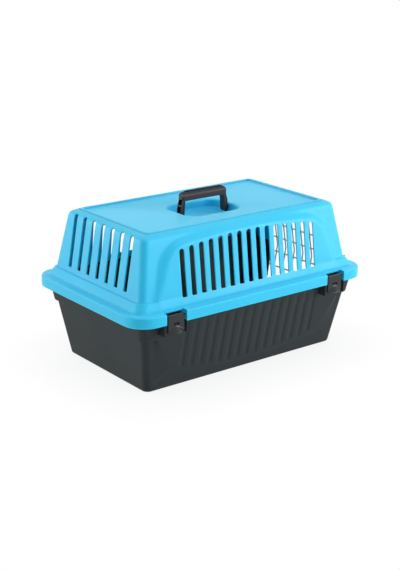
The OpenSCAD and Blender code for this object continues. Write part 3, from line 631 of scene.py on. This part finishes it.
def top_extras():
    extra = bmesh.new()
    add_lug(extra, ROD_Y, HINGE_X, JOINT_Z + LUG_REACH, 256.5, HINGE_HOLE)
    add_lug(extra, -ROD_Y, BOLT_X, JOINT_Z + LUG_REACH, 256.5, BOLT_HOLE)
    for sx in (-1, 1):
        for sy in (-1, 1):
            for s in (-1, 1):
                x0 = sx * CLIP_X + s * NOTCH_HALF
                add_block(extra, (x0, sy * 164.5, 150), (x0 + s * 3, sy * 184.6, 168.8), 0.7)
    for s in (-1, 1):
        add_block(extra, (262, s * GATE, 149.3), (289, s * (GATE + 3), 169), 0.8)
    bmesh.ops.recalc_face_normals(extra, faces=extra.faces)
    return extra


finish_piece("ventilated_top", bm, BLUE_PP, "top", "blue", ["top_shell"], wall=3.0, bevel=0.7)
finish_piece("top_lugs", top_extras(), BLUE_PP, "top", "blue", ["top_shell"])

# %% [markdown]
# ## The tub
#
# The dark half is lofted in the same way. A band stands out under the rim, and each long
# side has a pressed panel with fluted stripes under the vents. The loft's rows and
# columns are bent so that one row follows the panel's curved foot and one column follows
# each slanting end, which keeps those steps crisp.

# %% Sizes of the tub
RECESS_HALF, RECESS_Z, RECESS_Y, TUB_TOP = 28.75, 127.0, 163.0, 166.8
TUB_XS = stations(SIDE_VENTS, SIDE_PITCH, (-6.2, -5.0, -3.2, -1.1, 1.1, 3.2, 5.0, 6.2, 9.6, 13.6),
                  (CLIP_X - RECESS_HALF, 175, 182, 190, 198, 206, 214, 222, 228,
                   CLIP_X + RECESS_HALF, 233, 237, 241))
TUB_YS = stations(END_VENTS, END_PITCH, (-6, 0, 6, 10.9, 16.15, 21.4),
                  (110, 118, 124, 127, 130, 136, 142, 148))


def tub_x(z):
    return 239 + 23.5 * z / 149


def tub_y(z):
    return 137 + 27.5 * z / 149


def press_foot(x):
    return 21 + 0.00053 * x * x


def press_end(z):
    return 192 + 38 * min(max((z - 43) / (114 - 43), 0), 1)


def press_plane(z):
    return 170 - 0.2177 * (149 - z)


def flute(x, z):
    """Depth of the fluted stripes."""
    if abs(x) > 170:
        return 0
    a = abs(x - round(x / SIDE_PITCH) * SIDE_PITCH)
    ends = min((z - press_foot(x) - 4) / 5, (137 - z) / 4)
    if a > 6.1 or ends <= 0:
        return 0
    ends = min(ends, 1)
    return 1.7 * math.cos(a / 6.2 * math.pi / 2) ** 0.7 * ends * ends * (3 - 2 * ends)


def tub_reshape(x, y, z):
    side = abs(y) > tub_y(z) - 8 and abs(x) < tub_x(z) - 12
    if side and z < 149:
        knee = TUB_XS[1]
        if abs(x) > knee and z < 114:
            # the column that follows the slanting end stands at 230.25 where the wall is long enough
            end = press_end(z)
            last = fit(CLIP_X + RECESS_HALF, tub_x(z) - 13.5, TUB_XS[0][-1], knee)
            if abs(x) <= last + 0.05:
                x = math.copysign(knee + (abs(x) - knee) * (end - knee) / (last - knee), x)
    if side and 3.4 < z < 60:
        foot = press_foot(min(abs(x), 192))
        if abs(x) > 192:
            foot += (21 - foot) * min((abs(x) - 192) / 30, 1)
        if z < 21:
            moved = 3.5 + (z - 3.5) * (foot - 3.5) / 17.5
        else:
            moved = foot + (z - 21) * (60 - foot) / 39
        y = math.copysign(abs(y) + 0.1846 * (moved - z), y)
        z = moved
    if side and z < 149.5 and abs(x) <= press_end(z) + 0.1 and z >= press_foot(x) - 0.1:
        y = math.copysign(max(abs(y), press_plane(z)) - flute(x, z), y)
    if side and z > RECESS_Z - 0.1 and abs(abs(x) - CLIP_X) < RECESS_HALF - 0.1:
        y = math.copysign(RECESS_Y, y)
    if x > 0 and abs(y) < GATE + 0.1 and z > 100:
        x = min(x, tub_x(z) if z < JOINT_Z else top_x(z))
    return x, y, z


TUB_RINGS = [(150, 60, 10, 0), (226, 126, 7, 0), (234.5, 132.7, 9.5, 0), (236.2, 134.3, 10.8, 0.25),
             (237.9, 136, 12, 1.1), (238.9, 136.9, 12.7, 2.3)]
TUB_RINGS += [(tub_x(z), tub_y(z), 13, z) for z in (3.5, 7, 11, 15, 19, 21, 23, 25, 29, 33, 37)]
TUB_RINGS += [(tub_x(z), tub_y(z), 13, z) for z in [41 + 4.05 * k for k in range(18)]]
TUB_RINGS += [(tub_x(z) + out, tub_y(z) + out, r, z)
              for z, out, r in ((112.3, 0, 13), (113, 0.5, 13.4), (114.6, 4.6, 16), (115.6, 5.4, 17))]
TUB_RINGS += [(tub_x(z) + 5.5, tub_y(z) + 5.5, 17, z)
              for z in (119, 123, 126, 127, 131, 135, 139, 143, 147, 149, 153, 158, 162, TUB_TOP)]
bm = loft(TUB_RINGS, TUB_XS, TUB_YS, tub_reshape, close_first=True)
print("tub skin:", len(bm.faces), "faces")


# %% Doorway of the tub
def find_sill(p):
    if p.x > 225 and abs(p.y) < 100 and p.z > 30:
        return p.y, p.z, (DOOR_HALF, SILL, 300, 14.0, 0), slide((0, 1, 0), (0.158, 0, 1))
    return None


print("faces cut for the sill:", cut_openings(bm, find_sill))
finish_piece("dark_tub", bm, ANTHRACITE_PP, "tub", "anthracite", ["base_tub"], wall=3.0, bevel=0.6)


# %% Flange, clip keepers and lugs of the tub
def tub_flange():
    rings = [(262, 160, 13, TUB_TOP - 0.02), (286.5, 182.5, 40.5, TUB_TOP), (286.5, 182.5, 40.5, 153.2)]
    flange = loft(rings, TUB_XS, TUB_YS)
    doomed = []
    for f in flange.faces:
        c = f.calc_center_median()
        recess = abs(abs(c.x) - CLIP_X) < RECESS_HALF and abs(c.y) > RECESS_Y - 3
        if recess or c.x > 240 and abs(c.y) < GATE + 3:
            doomed.append(f)
    bmesh.ops.delete(flange, geom=doomed, context="FACES")
    return flange


def tub_extras():
    extra = bmesh.new()
    add_lug(extra, ROD_Y, HINGE_X, JOINT_Z - LUG_REACH - LUG_H, 257, HINGE_HOLE)
    add_lug(extra, -ROD_Y, BOLT_X, JOINT_Z - LUG_REACH - LUG_H, 257, BOLT_HOLE)
    for sx in (-1, 1):
        for sy in (-1, 1):
            for s in (-1, 1):
                x0 = sx * CLIP_X + s * 23.75
                add_block(extra, (x0, sy * 162, 125.2), (x0 + s * 3, sy * 184.6, 148.4), 0.6)
            x = sx * CLIP_X
            add_block(extra, (x - 24.5, sy * 178.1, 143), (x + 24.5, sy * 180.6, 146.2), 0.5)
            add_block(extra, (x - 6, sy * 180.2, 144.4), (x + 6, sy * 182.2, 146.0), 0.5)
    bmesh.ops.recalc_face_normals(extra, faces=extra.faces)
    return extra


finish_piece("tub_flange", tub_flange(), ANTHRACITE_PP, "tub", "anthracite",
             ["base_tub"], wall=3.0, bevel=0.5)
finish_piece("clip_keepers", tub_extras(), ANTHRACITE_PP, "tub", "anthracite", ["base_tub"])

# %% [markdown]
# ## The folding handle
#
# A bail of black nylon. Its outline is drawn with a few vertices, given its thickness by
# one extrusion, and rounded with bevels. The outer side of each leg has two hollows that
# keep the moulding thin.

# %% Handle
def handle_mesh():
    """The bail drawn from the front as one face, extruded, and rounded edge by edge."""
    foot, under, rise, half = -7.5, 29.5, 49.0, 7.5
    levels = (4.0, 19.5, 35.0)
    outer = [(60.5, foot), (60.5, 0)] + [(60.5 - 0.1224 * h, h) for h in levels + (rise,)]
    right = [(51.5, 0), (51.5, foot)] + outer
    left = [(-x, z) for x, z in reversed(right)]
    bm = bmesh.new()
    verts = [bm.verts.new((x, -half, PIVOT_Z + z)) for x, z in right + left + [(-48.8, under), (48.8, under)]]
    face = bm.faces.new(verts)
    grown = bmesh.ops.extrude_face_region(bm, geom=[face])["geom"]
    back = [g for g in grown if isinstance(g, bmesh.types.BMVert)]
    bmesh.ops.translate(bm, vec=(0, 2 * half, 0), verts=back)
    bmesh.ops.recalc_face_normals(bm, faces=bm.faces)

    def round_corner(x, z, offset, segments):
        def near(v):
            return abs(abs(v.co.x) - x) < 0.01 and abs(v.co.z - PIVOT_Z - z) < 0.01

        round_edges(bm, [e for e in bm.edges if all(near(v) for v in e.verts)], offset, segments)

    round_corner(54.5, rise, 11.5, 8)
    round_corner(48.8, under, 3.7, 5)
    round_corner(60.5, foot, 4.3, 5)
    round_corner(51.5, foot, 4.3, 5)
    # the grip fills the palm, so its long edges are rounded more than those of the legs
    grip = [e for e in bm.edges
            if all(v.co.z > PIVOT_Z + (25.7 if abs(v.co.x) < 51 else 34.9) for v in e.verts)
            and abs(e.verts[0].co.y - e.verts[1].co.y) < 0.01 and e.calc_face_angle(0) > 1]
    round_edges(bm, grip, 3, 4)
    hollows = [f for f in bm.faces if abs(f.normal.x) > 0.98 and abs(f.calc_center_median().x) > 55
               and 5 < f.calc_center_median().z - PIVOT_Z < 33]
    bmesh.ops.inset_individual(bm, faces=hollows, thickness=2.6, depth=0)
    bmesh.ops.inset_individual(bm, faces=hollows, thickness=0.3, depth=-4.5)
    return bm


def add_rod(bm, a, b, radius, steps=32):
    """A closed round bar between two points in millimetres."""
    a, b = Vector(a), Vector(b)
    made = bmesh.ops.create_cone(bm, cap_ends=True, segments=steps, radius1=radius, radius2=radius,
                                 depth=(b - a).length)["verts"]
    turn = (b - a).to_track_quat("Z", "Y").to_matrix().to_4x4()
    bmesh.ops.transform(bm, matrix=Matrix.Translation((a + b) / 2) @ turn, verts=made)
    caps = [f for f in {f for v in made for f in v.link_faces} if len(f.verts) > 4]
    round_edges(bm, [e for f in caps for e in f.edges], radius * 0.2, 2)


bm = handle_mesh()
finish_piece("folding_handle", bm, BLACK_NYLON, "bail", "black", ["handle"], bevel=1.2, segments=3, sharp=40)
axles = bmesh.new()
for s in (-1, 1):
    add_rod(axles, (s * 60, 0, PIVOT_Z), (s * 68, 0, PIVOT_Z), 3.0)
finish_piece("handle_axles", axles, BLACK_NYLON, "bail", "black", ["handle"])

# %% [markdown]
# ## The four clips
#
# Each clip is one small acetal moulding: a plate with a window that snaps over a tooth on
# the tub, a finger scoop shaped like a slice of a cone, and a barrel with two stub axles
# that turn in the rim. The plate and the scoop are one sheet, so a grid is pushed out in
# the shape of the cone, loses the window's faces and gets its thickness afterwards.

# %% Clips
PIVOT_Y, CLIP_PIVOT_Z, CLIP_HALF, CLIP_FACE = 179.0, 161.0, 18.5, 183.5
CLIP_ROWS = [131.5 + 12.5 / 12 * k for k in range(12)] + [144 + k for k in range(5)]
CLIP_ROWS += [149 + 16.5 / 16 * k for k in range(17)]
SCOOP_R, SCOOP_FOOT, SCOOP_TOP, SCOOP_REACH = 12.5, 131.5, 143.0, 9.0


def scoop_reach(x, z):
    """How far the cone stands in front of the plate, or 0 where it lies behind."""
    r = SCOOP_R - 0.5 + (SCOOP_REACH + 0.5) * (SCOOP_TOP - z) / (SCOOP_TOP - SCOOP_FOOT)
    if z > SCOOP_TOP or abs(x) >= r:
        return 0
    return smooth_max(0, math.sqrt(r * r - x * x) - SCOOP_R, 0.5)


def clip_sheet(sx, sy):
    bm = bmesh.new()
    rows = len(CLIP_ROWS) - 1
    bmesh.ops.create_grid(bm, x_segments=37, y_segments=rows, size=1)
    for v in bm.verts:
        x, z = v.co.x * CLIP_HALF, CLIP_ROWS[round((v.co.y + 1) / 2 * rows)]
        v.co = (sx * CLIP_X + x, sy * (CLIP_FACE + scoop_reach(x, z)), z)
    middles = [(f, f.calc_center_median()) for f in bm.faces]
    window = [f for f, c in middles if abs(c.x - sx * CLIP_X) < 6.4 and 144 < c.z < 149]
    bmesh.ops.delete(bm, geom=window, context="FACES")
    if sy > 0:
        bmesh.ops.reverse_faces(bm, faces=bm.faces)
    return bm


def clip_barrel(sx, sy):
    bm = bmesh.new()
    x, y = sx * CLIP_X, sy * PIVOT_Y
    for half, radius in ((CLIP_HALF - 0.4, 3.8), (25.75, 2.0)):
        add_rod(bm, (x - half, y, CLIP_PIVOT_Z), (x + half, y, CLIP_PIVOT_Z), radius)
    return bm


for name in ("clip_front_left", "clip_front_right", "clip_back_left", "clip_back_right"):
    side = (-1 if "left" in name else 1, 1 if "back" in name else -1)
    kind = (CLIP_ACETAL, name + "_body", "anthracite", [name])
    finish_piece("side_" + name, clip_sheet(*side), *kind, wall=2.6, bevel=0.45, sharp=40)
    finish_piece(name + "_barrel", clip_barrel(*side), *kind)

# %% [markdown]
# ## The door and its latch
#
# The door is a grid of coated wires, all bent at the height of the rim so that they
# follow both halves. The engineer's solids have the right shape, so they keep their
# meshes and only get the coating's material. The small mouldings of the latch are
# copied, cleaned up and given rounded edges.

# %% Wires
for name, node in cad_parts.items():
    if name.startswith("door_"):
        for slot in node.material_slots:
            slot.material = WIRE_COATING
print("wires:", len([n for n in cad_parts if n.startswith("door_")]))


# %% Latch mouldings and bolts
def softened_copy(node, name, material, body, slot, width):
    """A copy of a CAD node with its flat faces whole again and its edges rounded."""
    bm = bmesh.new()
    bm.from_mesh(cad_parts[node].data)
    bmesh.ops.remove_doubles(bm, verts=bm.verts, dist=2e-6)
    bmesh.ops.dissolve_limit(bm, angle_limit=math.radians(0.5), verts=bm.verts, edges=bm.edges)
    return finish_piece(name, bm, material, body, slot, [node], bevel=width, sharp=35, scale=1.0)


softened_copy("latch_body", "latch_frame", BLACK_NYLON, "door", "black", 0.4)
softened_copy("upper_finger_pad", "upper_pad", BLACK_NYLON, "upper_latch", "black", 0.7)
softened_copy("lower_finger_pad", "lower_pad", BLACK_NYLON, "lower_latch", "black", 0.7)
softened_copy("upper_bolt", "upper_bolt_rod", PLATED_STEEL, "upper_latch", "steel", 0.2)
softened_copy("lower_bolt", "lower_bolt_rod", PLATED_STEEL, "lower_latch", "steel", 0.2)

# %% Latch spring
bm = bmesh.new()
SPRING_HALF, SPRING_COILS, SPRING_WIRE = 9.45, 5, 0.55
section = bmesh.ops.create_circle(bm, segments=10, radius=SPRING_WIRE)["verts"]
bmesh.ops.rotate(bm, cent=(0, 0, 0), matrix=Matrix.Rotation(math.pi / 2, 3, "X"), verts=section)
bmesh.ops.translate(bm, vec=(BOLT_X + 4, -ROD_Y, JOINT_Z - SPRING_HALF + SPRING_WIRE), verts=section)
steps = SPRING_COILS * 24
bmesh.ops.spin(bm, geom=section + bm.edges[:], cent=(BOLT_X, -ROD_Y, 0),
               axis=(0, 0, 1), angle=math.tau * SPRING_COILS,
               dvec=(0, 0, 2 * (SPRING_HALF - SPRING_WIRE) / steps), steps=steps)
bmesh.ops.holes_fill(bm, edges=[e for e in bm.edges if e.is_boundary])
bmesh.ops.recalc_face_normals(bm, faces=bm.faces)
spring = finish_piece("pinch_spring", bm, PLATED_STEEL, "door", "steel", ["latch_spring"], sharp=60)
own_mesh(spring)
